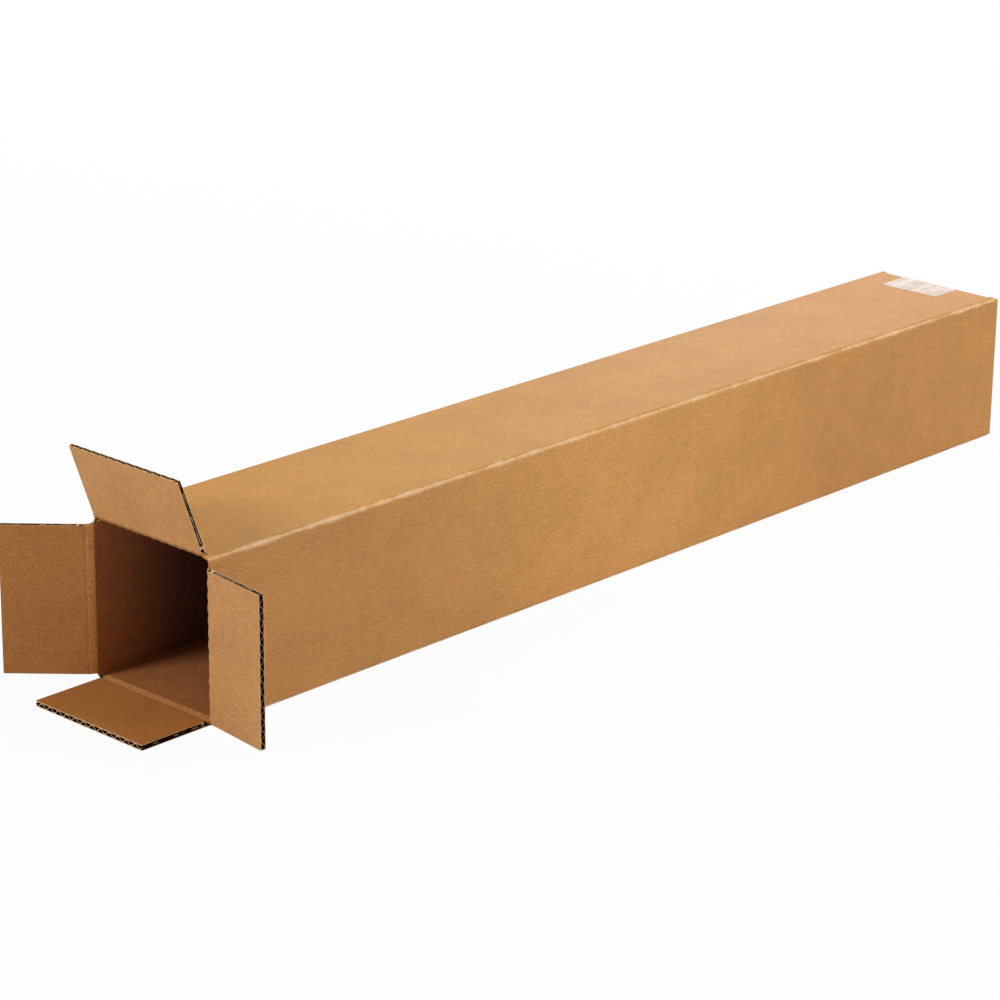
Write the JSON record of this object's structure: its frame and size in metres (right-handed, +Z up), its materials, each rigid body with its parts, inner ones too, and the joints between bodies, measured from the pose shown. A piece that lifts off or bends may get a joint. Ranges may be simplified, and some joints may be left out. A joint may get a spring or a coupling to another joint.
{
  "type": "long cardboard box",
  "caption": "Long square corrugated cardboard mailing box, one end folded shut and taped, the other open with its flaps turned out.",
  "frame": {"origin": "middle of the bottom panel's underside, where the box rests", "axes": "+X along the box, from the open mouth to the taped end; +Y to its left wall; +Z up"},
  "size_m": [0.8507, 0.2038, 0.1608],
  "materials": {
    "kraft_board": "matte kraft liner",
    "flap_board": "matte kraft liner, fluted cut edges",
    "clear_tape": "translucent satin tape"
  },
  "bodies": {
    "box": {"box_body": "kraft_board", "sealing_tape": "clear_tape"},
    "top_flap": {"top_flap": "flap_board"},
    "bottom_flap": {"bottom_flap": "flap_board"},
    "left_flap": {"left_flap": "flap_board"},
    "right_flap": {"right_flap": "flap_board"}
  },
  "joints": [
    {"name": "top_flap_crease", "type": "hinge", "parent": "box", "child": "top_flap", "pos_m": [-0.3959, 0, 0.1096], "axis": [0, 1, 0], "range_deg": [-160, 105]},
    {"name": "bottom_flap_crease", "type": "hinge", "parent": "box", "child": "bottom_flap", "pos_m": [-0.3959, 0, -0.0002], "axis": [0, -1, 0], "range_deg": [-90, 0]},
    {"name": "left_flap_crease", "type": "hinge", "parent": "box", "child": "left_flap", "pos_m": [-0.4, 0.0549, 0.0547], "axis": [0, 0, -1], "range_deg": [-137, 128]},
    {"name": "right_flap_crease", "type": "hinge", "parent": "box", "child": "right_flap", "pos_m": [-0.4, -0.0549, 0.0547], "axis": [0, 0, 1], "range_deg": [-173, 92]}
  ]
}
